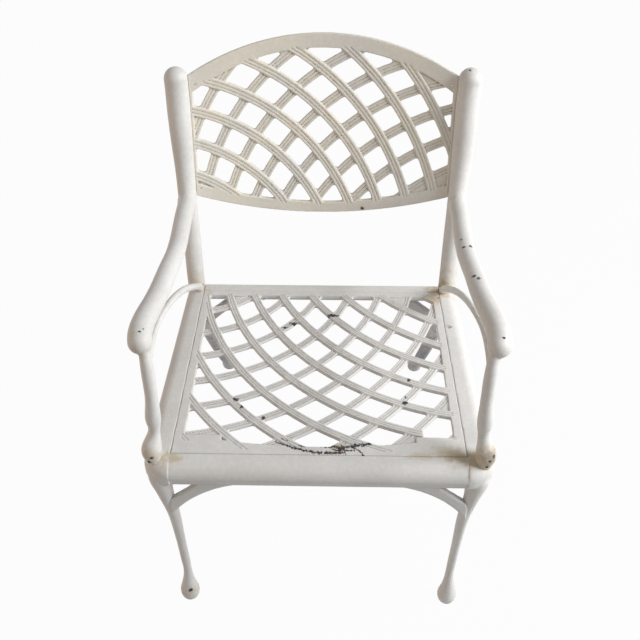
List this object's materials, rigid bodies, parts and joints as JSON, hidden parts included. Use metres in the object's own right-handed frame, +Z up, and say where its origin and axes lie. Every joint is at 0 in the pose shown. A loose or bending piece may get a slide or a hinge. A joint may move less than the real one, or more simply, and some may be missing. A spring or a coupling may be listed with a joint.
{
  "type": "garden armchair",
  "caption": "Cast metal garden armchair with a bowed lattice back, a lattice seat, curved arms and shaped front legs, painted off-white.",
  "frame": {"origin": "bottom centre of the bounding box, on the floor", "axes": "+Z up, the sitter faces -Y, +X is on the right when the chair is seen from the front"},
  "size_m": [0.5552, 0.6847, 0.8673],
  "materials": {
    "painted_casting": "worn off-white gloss paint on cast metal",
    "fasteners": "plain zinc-plated steel"
  },
  "bodies": {
    "root": {"seat_panel": "painted_casting", "back_panel": "painted_casting", "front_rail": "painted_casting", "rear_rail": "painted_casting", "left_back_post": "painted_casting", "right_back_post": "painted_casting", "left_side_rail": "painted_casting", "right_side_rail": "painted_casting", "left_front_leg": "painted_casting", "right_front_leg": "painted_casting", "left_arm": "painted_casting", "right_arm": "painted_casting", "left_arm_brace": "painted_casting", "right_arm_brace": "painted_casting", "left_front_leg_brace": "painted_casting", "right_front_leg_brace": "painted_casting", "left_rear_leg_brace": "painted_casting", "right_rear_leg_brace": "painted_casting", "rail_bolts": "fasteners", "rail_bolt_washers": "fasteners", "seat_panel_screws": "fasteners", "back_panel_studs": "fasteners", "arm_support_studs": "fasteners", "arm_rear_bolts": "fasteners", "arm_rear_washers": "fasteners", "leg_brace_screws": "fasteners", "arm_brace_studs": "fasteners"}
  },
  "joints": []
}
